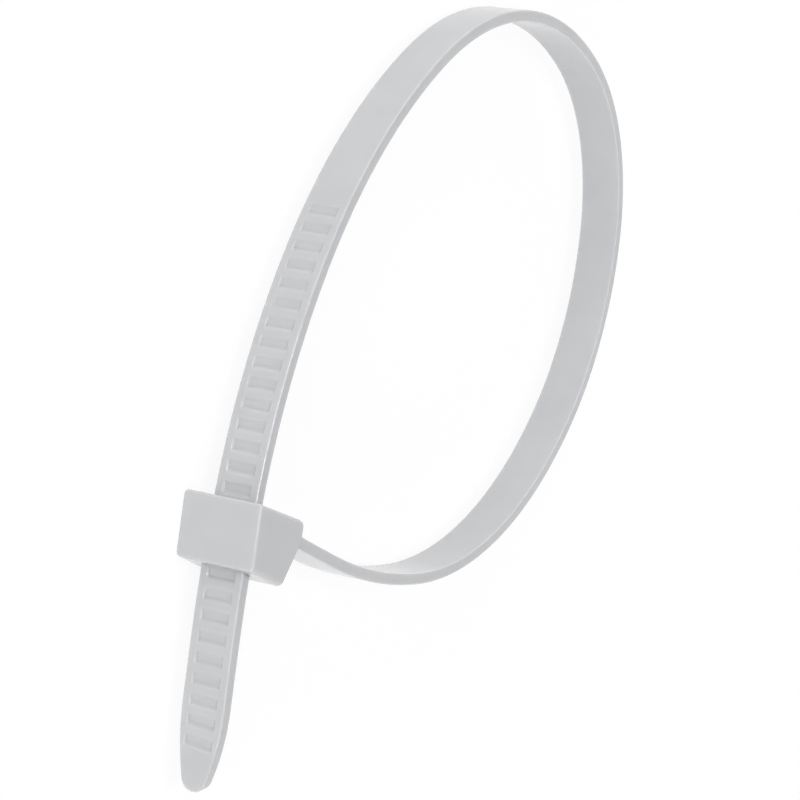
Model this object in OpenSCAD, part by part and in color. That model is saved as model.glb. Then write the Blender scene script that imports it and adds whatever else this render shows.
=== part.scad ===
// Cable tie with its tail drawn through its own head, lying on its side.
// The loop lies in the XY plane, the strap's width runs along Z and the side seen near in the
// photo is up. The origin is under the middle of the strap where it passes through the head.

/* [Strap] */
// width of the strap, along Z
strap_w = 4.8; // [4.4:0.1:5.4]
// thickness of the strap
strap_t = 1.25; // [1.1:0.05:1.5]
// bevel along the strap's four long edges
strap_bevel = 0.15; // [0.05:0.05:0.25]

/* [Loop] */
// height of the root's middle on the head's back face
root_y = -0.8; // [-1:0.02:-0.6]
// radius of the nearly straight root behind the head
root_radius = 450; // [350:10:600]
// radius of the first easy bend after the root
easy_radius = 70; // [62:1:76]
// radius of the bottom of the loop
bottom_radius = 41; // [38:0.5:44]
// radius of the tight corner farthest from the head
corner_radius = 23.5; // [20:0.5:26]
// radius of the shoulder above the ladder's start
shoulder_radius = 58; // [52:1:64]
// radius of the side that comes down to the head
side_radius = 71; // [66:1:76]
// radius of the bend kept by the strap in the head and the tail
tail_radius = 111; // [100:1:130]
// direction of the strap in the middle of the head, anticlockwise from the X axis
head_heading = 264.7; // [263:0.1:266]

/* [Tail] */
// length of the tail, from the middle of the head to the tip
tail_length = 26.2; // [20:0.1:30]
// radius of each flank of the pointed tip
tip_flank_radius = 28; // [24:1:34]
// radius of the rounded end
tip_radius = 1.4; // [1.1:0.1:1.7]

/* [Ladder] */
// distance from one pocket to the next
tooth_pitch = 2.07; // [1.95:0.01:2.25]
// pockets between the middle of the head and the loop
pockets_above = 16; // [10:1:17]
// plain strap left at the tip, past the last pocket
plain_tip = 3.6; // [3.2:0.1:5]
// length of a pocket along the strap
pocket_length = 1.4; // [1.2:0.05:1.5]
// plain rail on each side of the pockets
rail_w = 0.8; // [0.7:0.05:1]
// depth of a pocket at its steep end, toward the tip
pocket_deep = 0.45; // [0.35:0.05:0.5]
// depth of a pocket at the start of its ramp
pocket_shallow = 0.15; // [0.05:0.05:0.25]

/* [Head] */
// cheek of the head on each side of the strap
head_cheek = 2; // [1.7:0.05:2.3]
// front wall of the head, in front of the pawl's free space
front_wall = 0.9; // [0.8:0.05:1.2]
// from the strap's middle to the head's back face
head_back = 6.1; // [5.7:0.05:6.6]
// how far the middle of the head's front face lies below the X axis
head_drop = 0.4; // [0.2:0.05:0.6]
// slope of the head's top, below the X axis
top_fall = 13; // [10:1:16]
// slope of the head's underside, below the X axis
base_fall = 17; // [14:1:20]
// height of the head along its front face
head_h = 6.6; // [6.4:0.05:7]
// height of the upright part of the back face
back_h = 2.4; // [2.2:0.1:2.8]
// direction of the slope under the back, below the X axis
back_slope = 57; // [52:1:62]
// rounding of the head's four long edges
head_round = 0.5; // [0.2:0.1:0.8]
// bevel on the head's two front edges
front_bevel = 0.25; // [0.1:0.05:0.4]
// bevel across the corners of the head's back
back_bevel = 0.5; // [0.2:0.1:0.8]
// clearance between strap and slot, front and back
slot_gap = 0.1; // [0.08:0.01:0.15]
// clearance between strap and slot, each side
slot_side_gap = 0.15; // [0.1:0.01:0.25]

/* [Pawl] */
// thickness of the pawl behind its teeth
pawl_t = 0.7; // [0.6:0.05:0.75]
// full thickness of the pawl before its first tooth
pawl_lead = 0.6; // [0.4:0.1:0.8]
// thickness of the thin neck on which the pawl bends
neck_t = 0.4; // [0.3:0.05:0.45]
// length of the thin neck
neck_length = 1; // [0.8:0.1:1.2]
// free space in front of the pawl, in which it springs back
pawl_back_gap = 0.3; // [0.25:0.05:0.35]
// free space on each side of the pawl
pawl_side_gap = 0.25; // [0.2:0.05:0.35]
// clearance between a pawl tooth and its pocket
tooth_gap = 0.12; // [0.1:0.01:0.15]
// teeth on the pawl
pawl_teeth = 2; // [1:1:2]

/* [Hidden] */
$fn = 96;

// directions of the strap at the joints between its bends, from the root to the tail
turn_root = -18;
turn_easy = -16.5;
turn_bottom = 0;
turn_right = 55;
turn_corner = 95;
turn_top = 155;
turn_shoulder = 215;
turn_side = 245;
turn_tail = 262;

head_w = strap_w + 2 * head_cheek;
slot_t = strap_t + 2 * slot_gap;
head_front = slot_t / 2 + pawl_t + pawl_back_gap + front_wall;
// heights of the front face's two ends
front_top = head_h / 2 - head_drop;
front_base = front_top - head_h;
pocket_w = strap_w - 2 * rail_w;
pockets_below = floor((tail_length - plain_tip - pocket_length) / tooth_pitch);
pawl_w = pocket_w - 2 * tooth_gap;
neck_end = -pawl_lead;
neck_start = neck_end - neck_length;
pawl_end = (pawl_teeth - 1) * tooth_pitch + pocket_length - tooth_gap;
mid_z = head_w / 2;
// how far a piece runs into its neighbour, and how far a cutter runs past the whole head
overlap = 0.5;
reach = 2 * head_w;

// a point on a unit circle that is met at a given heading when going anticlockwise
function rim(h) = [sin(h), -cos(h)];
function along(h) = [cos(h), sin(h)];
function cross2(a, b) = a[0] * b[1] - a[1] * b[0];
// turn in degrees over a length on an arc, and the length over a turn
function sweep(length, radius) = length / radius * 180 / PI;
function arc(turn, radius) = turn * PI / 180 * radius;

// centres of the three bends on the head's side, found from the head outward
tail_centre = -tail_radius * rim(head_heading);
tail_start = tail_centre + tail_radius * rim(turn_tail);
side_centre = tail_start - side_radius * rim(turn_tail);
side_start = side_centre + side_radius * rim(turn_side);
shoulder_centre = side_start - shoulder_radius * rim(turn_side);
shoulder_start = shoulder_centre + shoulder_radius * rim(turn_shoulder);

// the root and the bends after it, found from the head's back face outward
root_centre = [head_back, root_y] - overlap * along(turn_root) - root_radius * rim(turn_root);
easy_start = root_centre + root_radius * rim(turn_easy);
easy_centre = easy_start - easy_radius * rim(turn_easy);
bottom_start = easy_centre + easy_radius * rim(turn_bottom);
bottom_centre = bottom_start - bottom_radius * rim(turn_bottom);
right_start = bottom_centre + bottom_radius * rim(turn_right);

// the right side and the top close the loop, so their radii follow from all the others
right_step = rim(turn_corner) - rim(turn_right);
corner_step = rim(turn_top) - rim(turn_corner);
top_step = rim(turn_shoulder) - rim(turn_top);
to_close = shoulder_start - right_start - corner_radius * corner_step;
right_radius = cross2(to_close, top_step) / cross2(right_step, top_step);
top_radius = cross2(right_step, to_close) / cross2(right_step, top_step);
right_centre = right_start - right_radius * rim(turn_right);
corner_start = right_centre + right_radius * rim(turn_corner);
corner_centre = corner_start - corner_radius * rim(turn_corner);
top_start = corner_centre + corner_radius * rim(turn_top);
top_centre = top_start - top_radius * rim(turn_top);

// length of strap from the middle of the head up to the side's bend, and up to the shoulder's
side_from = arc(head_heading - turn_tail, tail_radius);
shoulder_from = side_from + arc(turn_tail - turn_side, side_radius);

// heading of the strap at a distance past the middle of the head, toward the tip
function heading_at(s) =
    s > -side_from ? head_heading + sweep(s, tail_radius)
    : s > -shoulder_from ? turn_tail + sweep(s + side_from, side_radius)
    : turn_side + sweep(s + shoulder_from, shoulder_radius);
// place of the strap's middle line at the same distance
function place_at(s) =
    s > -side_from ? tail_centre + tail_radius * rim(heading_at(s))
    : s > -shoulder_from ? side_centre + side_radius * rim(heading_at(s))
    : shoulder_centre + shoulder_radius * rim(heading_at(s));

// section of the strap, as thickness by width, bevelled on all four corners
module strap_section() {
    a = strap_t / 2;
    b = strap_w / 2;
    c = strap_bevel;
    polygon([[-a, c - b], [c - a, -b], [a - c, -b], [a, c - b],
             [a, b - c], [a - c, b], [c - a, b], [-a, b - c]]);
}

// a number as its hundredths and the rest: moved in two steps, a bend lands exactly on its neighbour
function coarse(x) = round(x * 100) / 100;
function fine(x) = x - coarse(x);
module move_to(p, z) {
    translate([coarse(p[0]), coarse(p[1]), z])
        translate([fine(p[0]), fine(p[1]), 0])
            children();
}

// a bend of the strap about a centre, between two headings
module bend(centre, radius, from, to) {
    move_to(centre, mid_z)
        rotate_extrude(start = from - 90, angle = to - from)
            move_to([radius, 0], 0)
                strap_section();
}

// a plain band on the tail's bend, between two distances outside the strap's middle line
module band(inner, outer, w, from_s, to_s) {
    from = heading_at(0) + sweep(from_s, tail_radius);
    to = heading_at(0) + sweep(to_s, tail_radius);
    translate([tail_centre[0], tail_centre[1], mid_z])
        rotate([0, 0, from - 90])
            rotate_extrude(angle = to - from)
                translate([tail_radius + inner, -w / 2])
                    square([outer - inner, w]);
}

// outline of the tail's flat side: parallel, then two long flanks and a rounded end
module tail_outline() {
    b = strap_w / 2;
    lean = tip_flank_radius - b;
    inner = tip_flank_radius - tip_radius;
    drop = sqrt(inner * inner - lean * lean);
    tip_y = tail_length - tip_radius;
    top_y = tip_y - drop;
    cut_y = top_y + tip_flank_radius * drop / inner;
    translate([-b, -overlap])
        square([strap_w, top_y + overlap]);
    translate([0, top_y])
        intersection() {
            translate([lean, 0])
                circle(tip_flank_radius);
            translate([-lean, 0])
                circle(tip_flank_radius);
            translate([-b, 0])
                square([strap_w, cut_y - top_y]);
        }
    translate([0, tip_y])
        circle(tip_radius);
}

// strap in the head and the tail, cut to its bullet outline
module tail() {
    intersection() {
        bend(tail_centre, tail_radius, turn_tail, heading_at(tail_length + overlap));
        union() {
            translate([reach / 2, 0, mid_z])
                rotate([0, -90, 0])
                    linear_extrude(reach)
                        mirror([0, 1])
                            tail_outline();
            translate([-reach / 2, -overlap, mid_z - strap_w])
                cube([reach, reach, 2 * strap_w]);
        }
    }
}

// a wedge that starts at a distance along the strap's outer face, less a clearance all round
module wedge(s, clearance, out) {
    h = heading_at(s);
    face = place_at(s) + strap_t / 2 * rim(h);
    slope = (pocket_deep - pocket_shallow) / pocket_length;
    start = clearance;
    end = pocket_length - clearance;
    start_deep = pocket_shallow + slope * start - clearance;
    end_deep = pocket_shallow + slope * end - clearance;
    w = pocket_w - 2 * clearance;
    translate([face[0], face[1], mid_z - w / 2])
        rotate([0, 0, h])
            linear_extrude(w)
                polygon([[start, -out], [end, -out], [end, end_deep], [start, start_deep]]);
}

// the ladder: a ramped pocket at every pitch along the strap's outer face
module ladder() {
    for (k = [-pockets_above : pockets_below])
        wedge(k * tooth_pitch, 0, overlap);
}

// the whole strap, from its root round the loop to the tip
module strap() {
    difference() {
        union() {
            bend(root_centre, root_radius, turn_root, turn_easy);
            bend(easy_centre, easy_radius, turn_easy, turn_bottom);
            bend(bottom_centre, bottom_radius, turn_bottom, turn_right);
            bend(right_centre, right_radius, turn_right, turn_corner);
            bend(corner_centre, corner_radius, turn_corner, turn_top);
            bend(top_centre, top_radius, turn_top, turn_shoulder);
            bend(shoulder_centre, shoulder_radius, turn_shoulder, turn_side);
            bend(side_centre, side_radius, turn_side, turn_tail);
            tail();
        }
        ladder();
    }
}

// section of a tall bar as wide as the head, rounded at the corners of its low end
module bar_section() {
    r = head_round;
    translate([0, r])
        square([reach, head_w - 2 * r]);
    translate([r, 0])
        square([reach - r, head_w]);
    for (y = [r, head_w - r])
        translate([r, y])
            circle(r);
}

// a bar that leans by a slope, from a height on the head's front face
module leaning_bar(front_y, fall) {
    translate([-head_front, front_y, 0])
        rotate([0, 0, -fall])
            translate([-reach / 2, 0, 0])
                rotate([90, 0, 90])
                    linear_extrude(2 * reach)
                        children();
}

// solid head: what a bar from its top and one from its underside share, cut to its front and back
module head_block() {
    intersection() {
        leaning_bar(front_top, top_fall)
            mirror([1, 0])
                bar_section();
        leaning_bar(front_base, base_fall)
            bar_section();
        translate([0, 0, -overlap])
            linear_extrude(head_w + 2 * overlap)
                head_profile();
        translate([0, reach, 0])
            rotate([90, 0, 0])
                linear_extrude(2 * reach)
                    head_plan();
    }
}

// the head from the side: front face, back face and the slope below it, with the back's corners cut
module head_profile() {
    fall = tan(top_fall);
    under = tan(base_fall);
    rise = tan(back_slope);
    c = back_bevel;
    top_y = front_top - (head_front + head_back) * fall;
    slope_y = top_y - back_h;
    // where the slope meets the head's underside
    foot_x = (head_back * rise - slope_y + front_base - head_front * under) / (rise + under);
    foot_y = front_base - (head_front + foot_x) * under;
    polygon([[-head_front, -reach], [-head_front, reach],
             [head_back - c - reach * fall, reach],
             [head_back - c, top_y + c * fall],
             [head_back, top_y - c],
             [head_back, slope_y + c / 2],
             [head_back - c / 2 * cos(back_slope), slope_y - c / 2 * sin(back_slope)],
             [foot_x + c * cos(back_slope), foot_y + c * sin(back_slope)],
             [foot_x - c * cos(base_fall), foot_y + c * sin(base_fall)],
             [foot_x - c * cos(base_fall), -reach]]);
}

// the head from above: its two front edges are bevelled
module head_plan() {
    b = front_bevel;
    polygon([[-head_front, b], [b - head_front, 0], [reach, 0],
             [reach, head_w], [b - head_front, head_w], [-head_front, head_w - b]]);
}

// slot for the strap and the space in which the pawl moves
module head_space() {
    a = slot_t / 2;
    band(-a, a, strap_w + 2 * slot_side_gap, -head_h, head_h);
    band(0, a + pawl_t + pawl_back_gap, pawl_w + 2 * pawl_side_gap, neck_start, head_h);
}

// pawl in the front wall: thin neck, body, and teeth seated in the strap's pockets
module pawl() {
    a = slot_t / 2;
    band(a, a + neck_t, pawl_w, neck_start - overlap, neck_end + overlap / 2);
    band(a, a + pawl_t, pawl_w, neck_end, pawl_end);
    for (k = [0 : pawl_teeth - 1])
        wedge(k * tooth_pitch, tooth_gap, slot_gap + neck_t / 2);
}

module head() {
    difference() {
        head_block();
        head_space();
    }
    pawl();
}

module cable_tie() {
    color("#dcdcd6") {
        head();
        strap();
    }
}

cable_tie();
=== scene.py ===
"""Looks of a natural nylon cable tie that is closed to a loop and lies on its side.

The tie is modelled flat, as it comes out of its mould, and is then bent along its loop.
All sizes are in metres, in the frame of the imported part.
"""
import math

import bmesh
import bpy
from bpy.props import FloatProperty, FloatVectorProperty, IntProperty, PointerProperty
from bpy.types import Operator, Panel, PropertyGroup
from mathutils import Matrix, Vector


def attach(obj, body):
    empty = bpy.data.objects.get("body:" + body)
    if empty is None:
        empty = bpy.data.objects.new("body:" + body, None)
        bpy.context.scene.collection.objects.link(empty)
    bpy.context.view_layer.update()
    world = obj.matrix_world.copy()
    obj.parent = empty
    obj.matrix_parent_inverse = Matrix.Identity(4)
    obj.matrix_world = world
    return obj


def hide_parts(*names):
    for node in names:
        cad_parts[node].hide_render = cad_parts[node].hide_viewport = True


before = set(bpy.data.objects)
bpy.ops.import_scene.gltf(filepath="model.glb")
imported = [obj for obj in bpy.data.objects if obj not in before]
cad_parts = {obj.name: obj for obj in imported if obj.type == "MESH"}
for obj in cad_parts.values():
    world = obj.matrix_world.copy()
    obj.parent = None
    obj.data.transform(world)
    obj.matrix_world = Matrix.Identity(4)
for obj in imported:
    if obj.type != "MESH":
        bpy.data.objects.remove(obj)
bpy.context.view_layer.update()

bl_info = {
    "name": "Cable tie",
    "version": (1, 0, 0),
    "blender": (4, 5, 0),
    "location": "3D View > Sidebar > Cable tie",
    "description": "Models a closed nylon cable tie, its finish and its stage",
    "category": "Object",
}

MM = 0.001
BODY = "root"
NODE = "cable_tie"
PIECE = "cable_tie_moulding"

# headings in degrees at which each bend of the strap starts, from the root to the tail
TURNS = [-18, -16.5, 0, 55, 95, 155, 215, 245, 262]
# distance between the points of the line along which flat pieces are bent
LOOP_STEP = 0.3 * MM
# how far a piece runs into its neighbour before the two are joined
OVERLAP = 0.5 * MM
# distance within which a vertex counts as lying on a plane
NEAR = 0.01 * MM
# least share of a face's normal that points a way, for the face to count as facing that way
FACING = 0.9
# segments between the last pocket and the rounded end, and degrees at which that end is cut,
# short of the last 0.1 mm, where Bisect keeps to the end's own corners
PLAIN_SEGMENTS = 3
END_ANGLES = range(0, 72, 9)
# half the width left at the very end, as a share of the end's radius
END_SHARE = 0.05
# segments of a rounding in a pocket's corner and along the head's edges
POCKET_SEGMENTS = 3
HEAD_SEGMENTS = 5
# share of the head's rounding on its front edges and on the upright edges of its back
FRONT_SHARE = 0.4
UPRIGHT_SHARE = 0.6
# faces that meet at less than this many degrees are shaded as one
SMOOTH_DEGREES = 35
# noise detail of the nylon's clouds and of its grain
CLOUD_DETAIL = 3
GRAIN_DETAIL = 2
# width of the camera's sensor in millimetres, and the nearest that it sees in metres
SENSOR = 36
NEAREST = 0.01


def length(name, text, size_mm):
    """A size that a user can change, given in millimetres."""
    return FloatProperty(name=name, description=text, default=size_mm * MM, unit="LENGTH",
                         subtype="DISTANCE", precision=5)


def angle(name, text, degrees):
    """An angle that a user can change, given in degrees."""
    return FloatProperty(name=name, description=text, default=math.radians(degrees),
                         unit="ROTATION", subtype="ANGLE")


def share(name, text, value):
    """A share between nothing and all that a user can change."""
    return FloatProperty(name=name, description=text, default=value, min=0, max=1, subtype="FACTOR")


def colour(name, text, value):
    """A colour that a user can change, in linear light."""
    return FloatVectorProperty(name=name, description=text, default=value, size=3, min=0, max=1,
                               subtype="COLOR")


def amount(name, text, value, unit="NONE"):
    """A plain number, or a power or focal length, that a user can change."""
    return FloatProperty(name=name, description=text, default=value, unit=unit)


def count(name, text, value):
    """A count that a user can change."""
    return IntProperty(name=name, description=text, default=value)


class StrapSizes(PropertyGroup):
    """Section of the strap, the bends of its loop and its tail."""
    width: length("Width", "Width of the strap", 4.8)
    thickness: length("Thickness", "Thickness of the strap", 1.25)
    chamfer: length("Chamfer", "Flat on each long edge beside the ladder", 0.07)
    root_y: length("Root height", "Height of the root's middle on the head's back face", -0.8)
    root_radius: length("Root radius", "Radius of the nearly straight root", 450)
    easy_radius: length("Easy radius", "Radius of the first bend after the root", 70)
    bottom_radius: length("Bottom radius", "Radius of the bottom of the loop", 41)
    corner_radius: length("Corner radius", "Radius of the tight corner farthest from the head", 23.5)
    shoulder_radius: length("Shoulder radius", "Radius of the bend above the ladder", 58)
    side_radius: length("Side radius", "Radius of the side that comes down to the head", 71)
    tail_radius: length("Tail radius", "Radius of the bend in the head and the tail", 111)
    head_heading: angle("Heading in the head", "Direction of the strap in the middle of the head", 264.7)
    tail_length: length("Tail length", "From the middle of the head to the tip", 26.4)
    flank_radius: length("Flank radius", "Radius of each flank of the pointed tip", 28)
    tip_radius: length("Tip radius", "Radius of the rounded end", 1.4)
    tip_sag: length("Tip sag", "How far the tip hangs below the loop's plane", 0.7)
    sag_start: length("Sag start", "From the middle of the head to where the tail starts to sag", 8)
    station: length("Station", "Length of one segment of the smooth strap", 1.2)


class LadderSizes(PropertyGroup):
    """The pockets along the strap's outer face."""
    pitch: length("Pitch", "Distance from one pocket to the next", 2.07)
    above: count("Pockets above", "Pockets between the head and the loop", 16)
    plain_tip: length("Plain tip", "Plain strap left at the tip", 3.6)
    pocket_length: length("Pocket length", "Length of a pocket along the strap", 1.4)
    rail: length("Rail", "Plain rail on each side of the pockets", 0.8)
    narrow_rail: length("Narrow rail", "Least rail where the tip tapers", 0.38)
    deep: length("Deep end", "Depth of a pocket at its steep end", 0.35)
    shallow: length("Shallow end", "Depth of a pocket where its ramp starts", 0.13)
    corner: length("Pocket corner", "Rounding of a pocket's corners", 0.22)
    lean: length("End lean", "How far a pocket's two end walls lean inwards", 0.35)
    side_lean: length("Side lean", "How far a pocket's two side walls lean inwards", 0.12)
    fold: length("Floor fold", "Flat between a pocket's walls and its floor", 0.1)


class HeadSizes(PropertyGroup):
    """The head, its slot and its pawl."""
    cheek: length("Cheek", "Head on each side of the strap", 2)
    front_wall: length("Front wall", "Wall in front of the pawl's free space", 0.9)
    back: length("Back", "From the strap's middle to the back face", 6.1)
    drop: length("Drop", "How far the front face's middle lies below the slot's middle", 0.4)
    top_fall: angle("Top fall", "Slope of the head's top", 13)
    base_fall: angle("Base fall", "Slope of the head's underside", 17)
    height: length("Height", "Height along the front face", 6.6)
    back_height: length("Back height", "Height of the upright part of the back face", 2.4)
    back_slope: angle("Back slope", "Direction of the slope under the back", 57)
    rounding: length("Rounding", "Rounding of the head's long edges", 0.55)
    slot_gap: length("Slot gap", "Clearance of the strap, front and back", 0.1)
    side_gap: length("Side gap", "Clearance of the strap, each side", 0.15)
    pawl_thickness: length("Pawl thickness", "Thickness of the pawl behind its teeth", 0.7)
    pawl_lead: length("Pawl lead", "Full thickness of the pawl before its first tooth", 0.6)
    neck_thickness: length("Neck thickness", "Thickness of the neck on which the pawl bends", 0.4)
    neck_length: length("Neck length", "Length of the thin neck", 1)
    pawl_space: length("Pawl space", "Free space in front of the pawl", 0.3)
    pawl_side_gap: length("Pawl side gap", "Free space on each side of the pawl", 0.25)
    tooth_gap: length("Tooth gap", "Clearance between a pawl tooth and its pocket", 0.12)
    teeth: count("Pawl teeth", "Teeth on the pawl", 2)


class NylonFinish(PropertyGroup):
    """Natural nylon, uncoloured and a little translucent."""
    colour: colour("Colour", "Colour of the nylon", (0.585, 0.59, 0.6))
    cloud: colour("Cloud", "Colour of its clearer clouds", (0.565, 0.57, 0.585))
    cloud_scale: amount("Cloud scale", "Fineness of the clouds", 180)
    cloud_low: share("Cloud low", "Noise up to which the colour is the clouds' own", 0.35)
    cloud_high: share("Cloud high", "Noise from which the colour is the nylon's own", 0.65)
    roughness: share("Roughness", "Roughness of the moulded skin", 0.15)
    refraction: amount("Refraction", "Refractive index of nylon", 1.53)
    translucence: share("Translucence", "Share of light that goes under the skin", 1)
    depth: length("Light depth", "How far light goes under the skin", 0.5)
    grain: length("Grain", "Height of the mould's grain", 0.003)
    grain_scale: amount("Grain scale", "Fineness of the mould's grain", 6000)
    grain_strength: share("Grain strength", "How strongly the grain turns the light", 0.5)


class StageSettings(PropertyGroup):
    """Floor, lights and camera."""
    floor_size: length("Floor size", "Side of the square floor", 6000)
    floor_colour: colour("Floor colour", "Colour of the pale floor", (0.85, 0.85, 0.85))
    shadow: share("Shadow", "How strongly the floor shows the tie's shadow", 0.2)
    floor_white: amount("Floor white", "White that is seen with that shadow", 1.07)
    low_sky: amount("Low sky", "Even light from the sides", 0.8)
    high_sky: amount("High sky", "Even light from straight above", 0.42)
    key_size: length("Key size", "Side of the large soft lamp", 1700)
    key_power: amount("Key power", "Power of the soft lamp", 12.1, "POWER")
    key_azimuth: angle("Key azimuth", "Direction of the soft lamp round the tie", -100)
    key_elevation: angle("Key elevation", "Height of the soft lamp above the floor", 27)
    strip_length: length("Strip length", "Length of the narrow lamp", 900)
    strip_width: length("Strip width", "Width of the narrow lamp", 140)
    strip_power: amount("Strip power", "Power of the narrow lamp", 6.2, "POWER")
    strip_azimuth: angle("Strip azimuth", "Direction of the narrow lamp round the tie", -110)
    strip_elevation: angle("Strip elevation", "Height of the narrow lamp above the floor", 62)
    side_length: length("Side length", "Length of each of the two low side lamps", 2300)
    side_height: length("Side height", "Height of each side lamp", 780)
    near_power: amount("Near power", "Power of the side lamp on the head's side", 10.4, "POWER")
    far_power: amount("Far power", "Power of the other side lamp", 8.8, "POWER")
    side_middle: angle("Side middle", "Direction midway between the two side lamps", -90)
    side_turn: angle("Side turn", "How far each side lamp stands from that direction", 75)
    side_elevation: angle("Side elevation", "Height of the side lamps above the floor", 12)
    lamp_distance: length("Lamp distance", "Distance of every lamp", 2000)
    azimuth: angle("Azimuth", "Direction of the camera round the tie, anticlockwise from -Y", -94.79)
    elevation: angle("Elevation", "Height of the camera above the floor", 27.54)
    roll: angle("Roll", "Turn of the camera about its view", 100.27)
    distance: length("Distance", "Distance of the camera from its target", 280.72)
    target_x: length("Target X", "Place that the camera looks at, across", 30.61)
    target_y: length("Target Y", "Place that the camera looks at, along", 12.15)
    target_z: length("Target Z", "Height of the place that the camera looks at", 4.4)
    lens: amount("Lens", "Focal length for a sensor 36 mm wide", 119.1, "CAMERA")


def rim(heading):
    """A point on a unit circle that is met at a heading when going anticlockwise."""
    return Vector((math.sin(heading), -math.cos(heading)))


def along(heading):
    """A unit step in the direction of a heading."""
    return Vector((math.cos(heading), math.sin(heading)))


def cross(a, b):
    """Area between two flat steps, positive where the second turns anticlockwise from the first."""
    return a.x * b.y - a.y * b.x


class Path:
    """The strap's middle line: bends that pass tangent into each other and close the loop."""

    def __init__(self, strap, head):
        turns = [math.radians(degrees) for degrees in TURNS]
        at_root, at_easy, at_bottom, at_right, at_corner, at_top, at_shoulder, at_side, at_tail = turns
        self.strap = strap
        self.height = strap.width / 2 + head.cheek
        # back from the middle of the head: the tail, the side and the shoulder
        tail = -strap.tail_radius * rim(strap.head_heading)
        tail_start = tail + strap.tail_radius * rim(at_tail)
        side = tail_start - strap.side_radius * rim(at_tail)
        side_start = side + strap.side_radius * rim(at_side)
        shoulder = side_start - strap.shoulder_radius * rim(at_side)
        shoulder_start = shoulder + strap.shoulder_radius * rim(at_shoulder)

        # on from the head's back face: the root, the first bend and the bottom
        root_start = Vector((head.back, strap.root_y)) - OVERLAP * along(at_root)
        root = root_start - strap.root_radius * rim(at_root)
        easy_start = root + strap.root_radius * rim(at_easy)
        easy = easy_start - strap.easy_radius * rim(at_easy)
        bottom_start = easy + strap.easy_radius * rim(at_bottom)
        bottom = bottom_start - strap.bottom_radius * rim(at_bottom)
        right_start = bottom + strap.bottom_radius * rim(at_right)

        # the right side and the top close the loop, so their radii follow from all the others
        right_step = rim(at_corner) - rim(at_right)
        corner_step = rim(at_top) - rim(at_corner)
        top_step = rim(at_shoulder) - rim(at_top)
        to_close = shoulder_start - right_start - strap.corner_radius * corner_step
        right_radius = cross(to_close, top_step) / cross(right_step, top_step)
        top_radius = cross(right_step, to_close) / cross(right_step, top_step)
        right = right_start - right_radius * rim(at_right)
        corner = right + (right_radius - strap.corner_radius) * rim(at_corner)
        top = corner + (strap.corner_radius - top_radius) * rim(at_top)

        # heading of the tip, whose distance past the head is measured straight
        tip = 2 * math.pi - math.acos((tail.y + strap.tail_length) / strap.tail_radius)
        centres = [root, easy, bottom, right, corner, top, shoulder, side, tail]
        radii = [strap.root_radius, strap.easy_radius, strap.bottom_radius,
                 right_radius, strap.corner_radius, top_radius,
                 strap.shoulder_radius, strap.side_radius, strap.tail_radius]
        self.bends = list(zip(centres, radii, turns, turns[1:] + [tip]))
        # lengths along the line: all of it, the tail past the head's middle, and the rest up to there
        self.length = sum(radius * (end - start) for _, radius, start, end in self.bends)
        self.tail = strap.tail_radius * (tip - strap.head_heading)
        self.head = self.length - self.tail

    def points(self, step):
        """Points along the whole middle line, about a step apart."""
        made = []
        past = -self.head
        for centre, radius, start, end in self.bends:
            steps = max(2, round(radius * (end - start) / step))
            for i in range(steps):
                heading = start + (end - start) * i / steps
                made.append(self.point(centre + radius * rim(heading), past + radius * (heading - start)))
            past += radius * (end - start)
        return made + [self.point(centre + radius * rim(end), past)]

    def point(self, place, past_head):
        """A flat place on the line, with its height."""
        return place.x, place.y, self.height - self.sag(past_head)

    def sag(self, past_head):
        """How far the tail hangs down at a distance past the head's middle: ever more toward the tip."""
        first = self.strap.sag_start
        return self.strap.tip_sag * max(0, (past_head - first) / (self.tail - first)) ** 3


def settings(context):
    """The sizes of the strap, of its ladder and of the head."""
    scene = context.scene
    return scene.tie_strap, scene.tie_ladder, scene.tie_head


def clear_selection():
    """Leaves edit mode and deselects every object."""
    if bpy.context.object and bpy.context.object.mode != "OBJECT":
        bpy.ops.object.mode_set(mode="OBJECT")
    bpy.ops.object.select_all(action="DESELECT")


def choose(piece):
    """Makes one object the active and only selected one."""
    clear_selection()
    piece.select_set(True)
    bpy.context.view_layer.objects.active = piece


def edit(piece):
    """Opens one object in edit mode, with nothing selected in it."""
    choose(piece)
    bpy.ops.object.mode_set(mode="EDIT")
    bpy.ops.mesh.select_all(action="DESELECT")


def new_box(name, low, high):
    """A box between two corners, at the origin with its place in its mesh."""
    clear_selection()
    low, high = Vector(low), Vector(high)
    bpy.ops.mesh.primitive_cube_add(size=1, location=(low + high) / 2)
    box = bpy.context.object
    box.name = name
    box.data.name = name
    box.scale = high - low
    bpy.ops.object.transform_apply(location=True, rotation=True, scale=True)
    return box


def pick(piece, kind, test):
    """Selects, in edit mode, only the vertices, edges or faces that pass a test."""
    bpy.ops.mesh.select_mode(type=kind)
    bpy.ops.mesh.select_all(action="DESELECT")
    shape = bmesh.from_edit_mesh(piece.data)
    parts = {"VERT": shape.verts, "EDGE": shape.edges, "FACE": shape.faces}[kind]
    chosen = [part for part in parts if test(part)]
    if not chosen:
        raise RuntimeError(f"{piece.name} has nothing to shape where it should")
    for part in chosen:
        part.select_set(True)
    shape.select_flush_mode()
    bmesh.update_edit_mesh(piece.data)


def facing(start, end, way):
    """A test for faces between two places along the strap that face inwards (1) or outwards (-1)."""
    return lambda face: start < face.calc_center_median().x < end and way * face.normal.y > FACING


def cut(place, normal, drop=False):
    """Cuts what is selected with a plane. The normal's side can be dropped, and the cut closed."""
    bpy.ops.mesh.bisect(plane_co=place, plane_no=normal, use_fill=drop, clear_outer=drop)


def cut_across(stations):
    """Cuts a flat piece, in edit mode, square across at each of these places along the strap."""
    for x in stations:
        bpy.ops.mesh.select_all(action="SELECT")
        cut((x, 0, 0), (1, 0, 0))


def move(step):
    """Moves what is selected."""
    bpy.ops.transform.translate(value=step)


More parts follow.
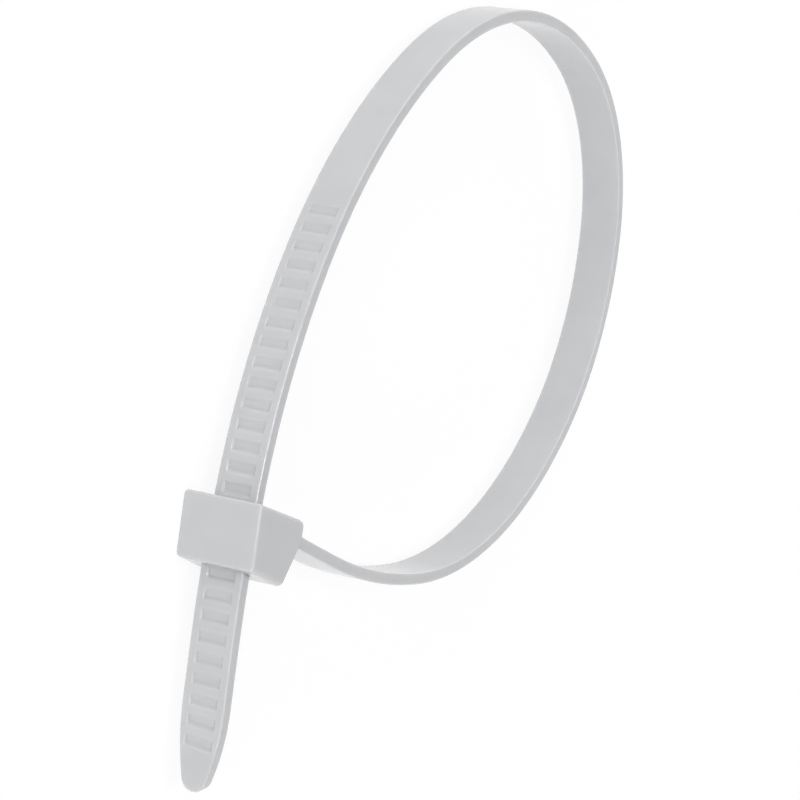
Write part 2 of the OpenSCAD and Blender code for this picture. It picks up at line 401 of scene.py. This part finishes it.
def extrude(rise):
    """Extrudes the selected faces through the strap's thickness: outwards is negative."""
    bpy.ops.mesh.extrude_region_move(TRANSFORM_OT_translate={"value": (0, rise, 0)})


def apply_modifier(piece, kind, **values):
    """Adds a modifier with its values and applies it."""
    choose(piece)
    modifier = piece.modifiers.new(kind.title(), kind)
    for name, value in values.items():
        setattr(modifier, name, value)
    bpy.ops.object.modifier_apply(modifier=modifier.name)


def combine(piece, other, operation):
    """Joins another solid to a piece, or cuts it out, and removes the other."""
    apply_modifier(piece, "BOOLEAN", operation=operation, solver="EXACT", object=other)
    bpy.data.objects.remove(other)


def bend(piece, path):
    """Bends a flat piece, modelled about z = 0, along the strap's loop."""
    points = path.points(LOOP_STEP)
    data = bpy.data.curves.new("loop", "CURVE")
    data.dimensions = "3D"
    data.twist_mode = "Z_UP"
    data.use_radius = False
    line = data.splines.new("POLY")
    line.points.add(len(points) - 1)
    for point, place in zip(line.points, points):
        point.co = (*place, 1)
    curve = bpy.data.objects.new("loop", data)
    bpy.context.scene.collection.objects.link(curve)
    apply_modifier(piece, "CURVE", object=curve, deform_axis="POS_X")
    bpy.data.objects.remove(curve)
    bpy.data.curves.remove(data)


def tail_half_width(strap, past_head):
    """Half the width of the tail's bullet outline, at a distance past the head's middle."""
    half = strap.width / 2
    lean = strap.flank_radius - half
    inner = strap.flank_radius - strap.tip_radius
    drop = math.sqrt(inner ** 2 - lean ** 2)
    tip = strap.tail_length - strap.tip_radius
    past_start = past_head - (tip - drop)
    if past_start <= 0:
        return half
    if past_start < strap.flank_radius * drop / inner:
        return math.sqrt(strap.flank_radius ** 2 - past_start ** 2) - lean
    return math.sqrt(max(0, strap.tip_radius ** 2 - (past_head - tip) ** 2))


def pocket_starts(strap, ladder):
    """Where each pocket starts, as a distance past the head's middle."""
    below = math.floor((strap.tail_length - ladder.plain_tip - ladder.pocket_length) / ladder.pitch)
    return [k * ladder.pitch for k in range(-ladder.above, below + 1)]


class TIE_OT_strap(Operator):
    """Model the strap flat, with its ladder and pointed tail, and bend it along the loop"""
    bl_idname = "tie.strap"
    bl_label = "Strap"

    def execute(self, context):
        strap, ladder, head = settings(context)
        path = Path(strap, head)
        half_w, half_t = strap.width / 2, strap.thickness / 2
        piece = new_box(PIECE, (0, -half_t, -half_w), (path.length, half_t, half_w))

        edit(piece)
        pick(piece, "EDGE", lambda e: abs(e.verts[0].co.x - e.verts[1].co.x) > NEAR
             and e.verts[0].co.y < 0)
        bpy.ops.mesh.bevel(offset=strap.chamfer, segments=1, affect="EDGES")

        # cuts across: even ones on the smooth strap, then each pocket's ends, then closer ones at the tip
        starts = [path.head + s for s in pocket_starts(strap, ladder)]
        smooth = round(starts[0] / strap.station)
        stations = [starts[0] * i / smooth for i in range(1, smooth)]
        for start in starts:
            stations += [start, start + ladder.pocket_length]
        rounded = [path.length - strap.tip_radius * (1 - math.sin(math.radians(a))) for a in END_ANGLES]
        last = stations[-1]
        stations += [last + (rounded[0] - last) * i / PLAIN_SEGMENTS for i in range(1, PLAIN_SEGMENTS)]
        stations += rounded
        cut_across(stations)

        # the tip's bullet outline, whose sizes are straight ones and grow a little along the bend
        scale = path.tail / strap.tail_length
        for x in stations + [path.length]:
            half = tail_half_width(strap, (x - path.head) / scale)
            if half < half_w:
                half = max(half, strap.tip_radius * END_SHARE)
                pick(piece, "VERT", lambda v: abs(v.co.x - x) < NEAR)
                bpy.ops.transform.resize(value=(1, 1, half / half_w), center_override=(x, 0, 0))

        # the pockets: their outlines, and floors just below the strap's face
        def half_at(end):
            """Half the width of the pocket that ends at a place along the strap."""
            half = tail_half_width(strap, (end - path.head) / scale)
            return min(half_w - ladder.rail, half - ladder.narrow_rail)

        for start in starts:
            end = start + ladder.pocket_length
            half = half_at(end)
            outer = facing(start, end, -1)
            for side in (-1, 1):
                pick(piece, "FACE", outer)
                cut((start, 0, side * half), (0, 0, 1))
            pick(piece, "FACE", lambda f: outer(f) and abs(f.calc_center_median().z) < half)
            extrude(ladder.shallow)

        widest = half_w - ladder.narrow_rail / 2

        def depth(vert):
            """How far a vertex lies below the strap's outer face."""
            return vert.co.y + half_t

        def in_corner(edge):
            """True for an upright edge at a pocket's corner."""
            a, b = edge.verts
            upright = (a.co - b.co).xz.length < NEAR and abs(a.co.z) < widest
            return upright and abs(depth(a) + depth(b) - ladder.shallow) < NEAR

        pick(piece, "EDGE", in_corner)
        bpy.ops.mesh.bevel(offset=ladder.corner, segments=POCKET_SEGMENTS, affect="EDGES",
                           clamp_overlap=False)

        # the walls lean, and each floor is a ramp that deepens toward the tip
        ramp = math.atan((ladder.deep - ladder.shallow) / ladder.pocket_length)
        for start in starts:
            end = start + ladder.pocket_length
            half = half_at(end)
            pick(piece, "VERT", lambda v: start - NEAR < v.co.x < end + NEAR and abs(v.co.z) < half + NEAR
                 and abs(depth(v) - ladder.shallow) < NEAR)
            middle = ((start + end) / 2, ladder.shallow - half_t, 0)
            narrower = (1 - 2 * ladder.lean / ladder.pocket_length, 1, 1 - ladder.side_lean / half)
            bpy.ops.transform.resize(value=narrower, center_override=middle)
            bpy.ops.transform.rotate(value=-ramp, orient_axis="Z",
                                     center_override=(start + ladder.lean, middle[1], 0))

        def is_wall(face):
            """True for a pocket's wall, which runs from the strap's face down to the floor."""
            depths = [depth(v) for v in face.verts]
            at_side = max(abs(v.co.z) for v in face.verts) > widest
            return not at_side and min(depths) < NEAR and NEAR < max(depths) < half_t

        pick(piece, "EDGE", lambda e: sum(is_wall(face) for face in e.link_faces) == 1
             and min(depth(v) for v in e.verts) > NEAR)
        bpy.ops.mesh.bevel(offset=ladder.fold, segments=1, affect="EDGES", clamp_overlap=False)
        bend(piece, path)
        return {"FINISHED"}


class TIE_OT_head(Operator):
    """Model the leaning head with its slot and pawl, and join it to the strap"""
    bl_idname = "tie.head"
    bl_label = "Head"

    def execute(self, context):
        strap, ladder, head = settings(context)
        path = Path(strap, head)
        width = strap.width + 2 * head.cheek
        slot_half = strap.thickness / 2 + head.slot_gap
        front = slot_half + head.pawl_thickness + head.pawl_space + head.front_wall
        top = head.height / 2 - head.drop
        base = top - head.height
        top_fall = math.tan(head.top_fall) * (front + head.back)
        base_fall = math.tan(head.base_fall) * (front + head.back)

        block = new_box("head", (-front, base, 0), (head.back, top, width))
        edit(block)
        pick(block, "VERT", lambda v: v.co.x > 0 and v.co.y > 0)
        move((0, -top_fall, 0))
        pick(block, "VERT", lambda v: v.co.x > 0 and v.co.y < base + NEAR)
        move((0, -base_fall, 0))
        slope_y = top - top_fall - head.back_height
        bpy.ops.mesh.select_all(action="SELECT")
        below = (math.sin(head.back_slope), -math.cos(head.back_slope), 0)
        cut((head.back, slope_y, 0), below, drop=True)

        # how much of the full rounding each edge of the block gets
        shape = bmesh.from_edit_mesh(block.data)
        weight = shape.edges.layers.float.new("bevel_weight_edge")
        for edge in shape.edges:
            a, b = edge.verts[0].co, edge.verts[1].co
            at_front = max(a.x, b.x) < NEAR - front
            across = abs(a.z - b.z) > NEAR
            upright = abs(a.x - b.x) < NEAR
            if at_front:
                edge[weight] = FRONT_SHARE
            elif upright and not across:
                edge[weight] = UPRIGHT_SHARE
            else:
                edge[weight] = 1
        bmesh.update_edit_mesh(block.data)
        apply_modifier(block, "BEVEL", width=head.rounding, segments=HEAD_SEGMENTS, limit_method="WEIGHT")

        # the slot and the space round the pawl, bent as the strap is
        pawl_w = strap.width - 2 * ladder.rail - 2 * head.tooth_gap
        neck_end = path.head - head.pawl_lead
        neck_start = neck_end - head.neck_length
        reach = head.height
        slot_side = strap.width / 2 + head.side_gap
        slot = new_box("slot", (path.head - reach, -slot_half, -slot_side),
                       (path.head + reach, slot_half, slot_side))
        bend(slot, path)
        combine(block, slot, "DIFFERENCE")
        space_side = pawl_w / 2 + head.pawl_side_gap
        space_front = slot_half + head.pawl_thickness + head.pawl_space
        space = new_box("space", (neck_start, -space_front, -space_side),
                        (path.head + reach, 0, space_side))
        bend(space, path)
        combine(block, space, "DIFFERENCE")

        # the pawl: neck, body, and teeth that sit in the ladder's pockets
        pawl = self.model_pawl(strap, ladder, head, path, slot_half, pawl_w, neck_start, neck_end)
        bend(pawl, path)
        combine(block, pawl, "UNION")
        moulding = bpy.data.objects[PIECE]
        combine(moulding, block, "UNION")
        finish_moulding(moulding)
        return {"FINISHED"}

    def model_pawl(self, strap, ladder, head, path, slot_half, pawl_w, neck_start, neck_end):
        """The pawl, flat, with one tooth for each of the pockets that it holds."""
        half_w = pawl_w / 2
        last = path.head + (head.teeth - 1) * ladder.pitch
        end = last + ladder.pocket_length - head.tooth_gap
        pawl = new_box("pawl", (neck_start - OVERLAP, -slot_half - head.neck_thickness, -half_w),
                       (end, -slot_half, half_w))
        edit(pawl)
        cuts = [neck_end]
        for k in range(head.teeth):
            start = path.head + k * ladder.pitch
            cuts += [start + head.tooth_gap, start + ladder.pocket_length - head.tooth_gap]
        cut_across([x for x in cuts if x < end - NEAR])
        # the body is thicker than the neck
        pick(pawl, "FACE", facing(neck_end, end, -1))
        extrude(head.neck_thickness - head.pawl_thickness)
        # each tooth rises out of the body, and more at its end, as the floor of its pocket does
        slope = (ladder.deep - ladder.shallow) / ladder.pocket_length
        for k in range(head.teeth):
            start = path.head + k * ladder.pitch + head.tooth_gap
            stop = start + ladder.pocket_length - 2 * head.tooth_gap
            rise = head.slot_gap + ladder.shallow + slope * head.tooth_gap - head.tooth_gap
            pick(pawl, "FACE", facing(start, stop, 1))
            extrude(rise)
            pick(pawl, "VERT", lambda v: abs(v.co.x - stop) < NEAR and v.co.y > -slot_half + NEAR)
            move((0, slope * (stop - start), 0))
        bpy.ops.object.mode_set(mode="OBJECT")
        return pawl


def finish_moulding(piece):
    """Gives the joined moulding smooth faces, its finish and its place in the frame."""
    choose(piece)
    bpy.ops.object.shade_smooth_by_angle(angle=math.radians(SMOOTH_DEGREES))
    apply_modifier(piece, "WEIGHTED_NORMAL", keep_sharp=True)
    piece.data.materials.clear()
    piece.data.materials.append(nylon(bpy.context.scene.tie_nylon))
    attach(piece, BODY)
    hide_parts(NODE)


def noise(nodes, links, scale, detail):
    """Noise on the piece's own coordinates."""
    place = nodes.new("ShaderNodeTexCoord")
    pattern = nodes.new("ShaderNodeTexNoise")
    pattern.inputs["Scale"].default_value = scale
    pattern.inputs["Detail"].default_value = detail
    links.new(place.outputs["Object"], pattern.inputs["Vector"])
    return pattern.outputs["Fac"]


def nylon(finish):
    """Natural nylon: faint clouds, a fine mould grain, and light that goes a little under the skin."""
    material = bpy.data.materials.new("natural_nylon")
    material.use_nodes = True
    nodes, links = material.node_tree.nodes, material.node_tree.links
    shader = nodes["Principled BSDF"]
    shader.inputs["Roughness"].default_value = finish.roughness
    shader.inputs["IOR"].default_value = finish.refraction
    shader.inputs["Subsurface Weight"].default_value = finish.translucence
    shader.inputs["Subsurface Radius"].default_value = (1, 1, 1)
    shader.inputs["Subsurface Scale"].default_value = finish.depth

    colours = nodes.new("ShaderNodeValToRGB")
    low, high = colours.color_ramp.elements
    low.position = finish.cloud_low
    low.color = (*finish.cloud, 1)
    high.position = finish.cloud_high
    high.color = (*finish.colour, 1)
    links.new(noise(nodes, links, finish.cloud_scale, CLOUD_DETAIL), colours.inputs["Fac"])
    links.new(colours.outputs["Color"], shader.inputs["Base Color"])

    bump = nodes.new("ShaderNodeBump")
    bump.inputs["Strength"].default_value = finish.grain_strength
    bump.inputs["Distance"].default_value = finish.grain
    links.new(noise(nodes, links, finish.grain_scale, GRAIN_DETAIL), bump.inputs["Height"])
    links.new(bump.outputs["Normal"], shader.inputs["Normal"])
    return material


def looked_at(nodes, links):
    """One where the camera, a reflection or clear plastic shows a surface, else zero."""
    ray = nodes.new("ShaderNodeLightPath")
    seen = ray.outputs["Is Camera Ray"]
    for name in ("Is Glossy Ray", "Is Transmission Ray"):
        either = nodes.new("ShaderNodeMath")
        either.operation = "MAXIMUM"
        links.new(seen, either.inputs[0])
        links.new(ray.outputs[name], either.inputs[1])
        seen = either.outputs["Value"]
    return seen


class TIE_OT_stage(Operator):
    """Set up the pale floor, the soft light and the camera"""
    bl_idname = "tie.stage"
    bl_label = "Stage"

    def execute(self, context):
        stage = context.scene.tie_stage
        self.make_floor(stage)
        self.make_sky(context, stage)
        self.make_lamp("key", stage, (stage.key_size, stage.key_size), stage.key_power,
                       stage.key_azimuth, stage.key_elevation)
        self.make_lamp("strip", stage, (stage.strip_length, stage.strip_width), stage.strip_power,
                       stage.strip_azimuth, stage.strip_elevation)
        side_size = (stage.side_length, stage.side_height)
        for name, power, turn in (("near_side", stage.near_power, stage.side_turn),
                                  ("far_side", stage.far_power, -stage.side_turn)):
            azimuth = stage.side_middle + turn
            lamp = self.make_lamp(name, stage, side_size, power, azimuth, stage.side_elevation)
            # seen low over the floor, the flat faces would mirror these lamps as plain white
            lamp.visible_glossy = False
        self.make_camera(context, stage)
        context.scene.view_settings.view_transform = "Standard"
        return {"FINISHED"}

    def make_floor(self, stage):
        """A pale floor that looks white, with a soft shadow on it."""
        clear_selection()
        bpy.ops.mesh.primitive_plane_add(size=stage.floor_size, location=(0, 0, 0))
        floor = bpy.context.object
        floor.name = "floor"
        material = bpy.data.materials.new("pale_floor")
        material.use_nodes = True
        nodes, links = material.node_tree.nodes, material.node_tree.links
        lit = nodes["Principled BSDF"]
        lit.inputs["Base Color"].default_value = (*stage.floor_colour, 1)
        lit.inputs["Roughness"].default_value = 1
        lit.inputs["Specular IOR Level"].default_value = 0
        white = nodes.new("ShaderNodeEmission")
        white.inputs["Color"].default_value = (1, 1, 1, 1)
        white.inputs["Strength"].default_value = stage.floor_white
        share_white = nodes.new("ShaderNodeMath")
        share_white.operation = "MULTIPLY"
        share_white.inputs[1].default_value = 1 - stage.shadow
        links.new(looked_at(nodes, links), share_white.inputs[0])
        mix = nodes.new("ShaderNodeMixShader")
        links.new(share_white.outputs["Value"], mix.inputs["Fac"])
        links.new(lit.outputs["BSDF"], mix.inputs[1])
        links.new(white.outputs["Emission"], mix.inputs[2])
        links.new(mix.outputs["Shader"], nodes["Material Output"].inputs["Surface"])
        floor.data.materials.append(material)

    def make_sky(self, context, stage):
        """Even light, stronger from the sides than from above, that looks white."""
        world = bpy.data.worlds.new("even_light")
        world.use_nodes = True
        nodes, links = world.node_tree.nodes, world.node_tree.links
        background = nodes["Background"]
        background.inputs["Strength"].default_value = 1
        place = nodes.new("ShaderNodeTexCoord")
        split = nodes.new("ShaderNodeSeparateXYZ")
        links.new(place.outputs["Generated"], split.inputs["Vector"])
        height = nodes.new("ShaderNodeMapRange")
        height.inputs["To Min"].default_value = stage.low_sky
        height.inputs["To Max"].default_value = stage.high_sky
        links.new(split.outputs["Z"], height.inputs["Value"])
        sky = nodes.new("ShaderNodeCombineColor")
        for channel in ("Red", "Green", "Blue"):
            links.new(height.outputs["Result"], sky.inputs[channel])
        mix = nodes.new("ShaderNodeMix")
        mix.data_type = "RGBA"
        mix.clamp_result = False
        mix.inputs["B"].default_value = (1, 1, 1, 1)
        links.new(looked_at(nodes, links), mix.inputs["Factor"])
        links.new(sky.outputs["Color"], mix.inputs["A"])
        links.new(mix.outputs["Result"], background.inputs["Color"])
        context.scene.world = world

    def make_lamp(self, name, stage, size, power, azimuth, elevation):
        """A soft rectangular lamp that points at the tie."""
        clear_selection()
        bpy.ops.object.light_add(type="AREA")
        lamp = bpy.context.object
        lamp.name = name
        lamp.data.shape = "RECTANGLE"
        lamp.data.size, lamp.data.size_y = size
        lamp.data.energy = power
        aim(lamp, stage, azimuth, elevation, stage.lamp_distance)
        return lamp

    def make_camera(self, context, stage):
        """The camera, at the photo's viewing angle."""
        clear_selection()
        bpy.ops.object.camera_add()
        camera = bpy.context.object
        camera.data.sensor_width = SENSOR
        camera.data.lens = stage.lens
        camera.data.clip_start = NEAREST
        aim(camera, stage, stage.azimuth, stage.elevation, stage.distance, stage.roll)
        context.scene.camera = camera


def aim(thing, stage, azimuth, elevation, distance, roll=0):
    """Places a lamp or camera round the stage's target and points it there, turned about its view."""
    target = Vector((stage.target_x, stage.target_y, stage.target_z))
    level = math.cos(elevation)
    back = Vector((math.sin(azimuth) * level, -math.cos(azimuth) * level, math.sin(elevation)))
    turn = (-back).to_track_quat("-Z", "Y").to_matrix() @ Matrix.Rotation(roll, 3, "Z")
    thing.matrix_world = Matrix.Translation(target + distance * back) @ turn.to_4x4()


class TIE_PT_panel(Panel):
    """The steps that make the cable tie, in order"""
    bl_label = "Cable tie"
    bl_idname = "TIE_PT_panel"
    bl_space_type = "VIEW_3D"
    bl_region_type = "UI"
    bl_category = "Cable tie"

    def draw(self, context):
        """Shows a button for each step."""
        for step in (TIE_OT_strap, TIE_OT_head, TIE_OT_stage):
            self.layout.operator(step.bl_idname)


CLASSES = (StrapSizes, LadderSizes, HeadSizes, NylonFinish, StageSettings,
           TIE_OT_strap, TIE_OT_head, TIE_OT_stage, TIE_PT_panel)
GROUPS = {"tie_strap": StrapSizes, "tie_ladder": LadderSizes, "tie_head": HeadSizes,
          "tie_nylon": NylonFinish, "tie_stage": StageSettings}


def register():
    """Adds the steps, their panel and the groups of sizes to Blender."""
    for item in CLASSES:
        bpy.utils.register_class(item)
    for name, group in GROUPS.items():
        setattr(bpy.types.Scene, name, PointerProperty(type=group))


def unregister():
    """Takes away what register adds."""
    for name in GROUPS:
        delattr(bpy.types.Scene, name)
    for item in reversed(CLASSES):
        bpy.utils.unregister_class(item)


def main():
    """Models the tie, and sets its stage."""
    register()
    bpy.ops.tie.strap()
    bpy.ops.tie.head()
    bpy.ops.tie.stage()


if __name__ == "__main__":
    main()
